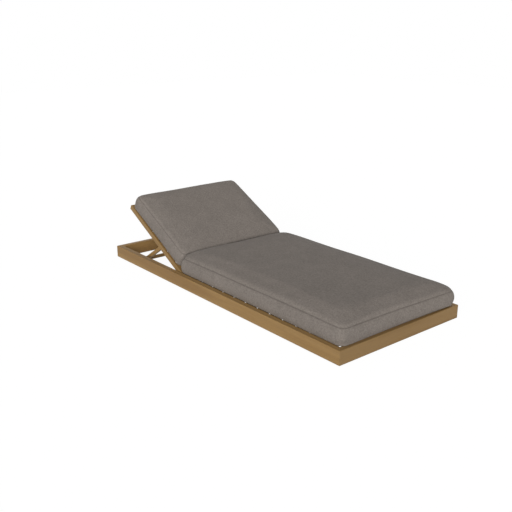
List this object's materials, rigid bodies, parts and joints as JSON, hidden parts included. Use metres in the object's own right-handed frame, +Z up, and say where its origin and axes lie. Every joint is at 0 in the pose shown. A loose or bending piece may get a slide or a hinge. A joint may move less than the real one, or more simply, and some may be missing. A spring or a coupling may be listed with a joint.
{
  "type": "sun lounger",
  "caption": "Low teak platform sun lounger with a slatted deck, a reclining backrest held by a prop bar in notched racks, and loose seat and back cushions.",
  "frame": {"origin": "on the ground, under the middle of the base frame", "axes": "+X towards the foot end, +Y to the left of a person lying on it, +Z up"},
  "size_m": [2, 0.86, 0.4446],
  "materials": {
    "teak": "oiled",
    "stainless_steel": "brushed",
    "brass": "plain",
    "nylon": "matte",
    "cushion_fabric": "woven, heathered"
  },
  "bodies": {
    "frame": {"centre_bearer": "teak", "corner_splines": "teak", "foot_rail": "teak", "glides": "nylon", "head_rail": "teak", "hinge_bolts": "stainless_steel", "hinge_cross_rail": "teak", "hinge_inserts": "brass", "hinge_spacers": "brass", "hinge_washers": "stainless_steel", "rack_left": "teak", "rack_right": "teak", "rack_screws": "stainless_steel", "rest_block_left": "teak", "rest_block_right": "teak", "rest_block_screws": "stainless_steel", "seat_cushion": "cushion_fabric", "seat_slat_01": "teak", "seat_slat_02": "teak", "seat_slat_03": "teak", "seat_slat_04": "teak", "seat_slat_05": "teak", "seat_slat_06": "teak", "seat_slat_07": "teak", "seat_slat_08": "teak", "seat_slat_09": "teak", "seat_slat_10": "teak", "seat_slat_11": "teak", "seat_slat_12": "teak", "seat_slat_13": "teak", "seat_slat_screws": "stainless_steel", "side_rail_left": "teak", "side_rail_right": "teak", "slat_ledger_left": "teak", "slat_ledger_right": "teak"},
    "backrest": {"back_board_left": "teak", "back_board_right": "teak", "back_bottom_rail": "teak", "back_cushion": "cushion_fabric", "back_dowels": "teak", "back_slat_1": "teak", "back_slat_2": "teak", "back_slat_3": "teak", "back_slat_4": "teak", "back_slat_5": "teak", "back_slat_screws": "stainless_steel", "back_top_rail": "teak", "hinge_bushes": "nylon", "prop_bracket_left": "stainless_steel", "prop_bracket_right": "stainless_steel", "prop_bracket_screws": "stainless_steel", "prop_nuts": "stainless_steel"},
    "prop": {"prop_arm_left": "teak", "prop_arm_right": "teak", "prop_bar": "teak", "bar_pins": "stainless_steel", "prop_bushes": "nylon"}
  },
  "joints": [
    {"name": "backrest_hinge", "type": "hinge", "parent": "frame", "child": "backrest", "pos_m": [-0.327, 0, 0.059], "axis": [0, 1, 0], "range_deg": [-28.56, 16.44]},
    {"name": "prop_pivot", "type": "hinge", "parent": "backrest", "child": "prop", "pos_m": [-0.5541, 0, 0.17006], "axis": [0, 1, 0], "range_deg": [-32.9, 57.14]}
  ],
  "couplings": [
    {"joint": "prop_pivot", "follows": "backrest_hinge", "ratio": -2}
  ]
}
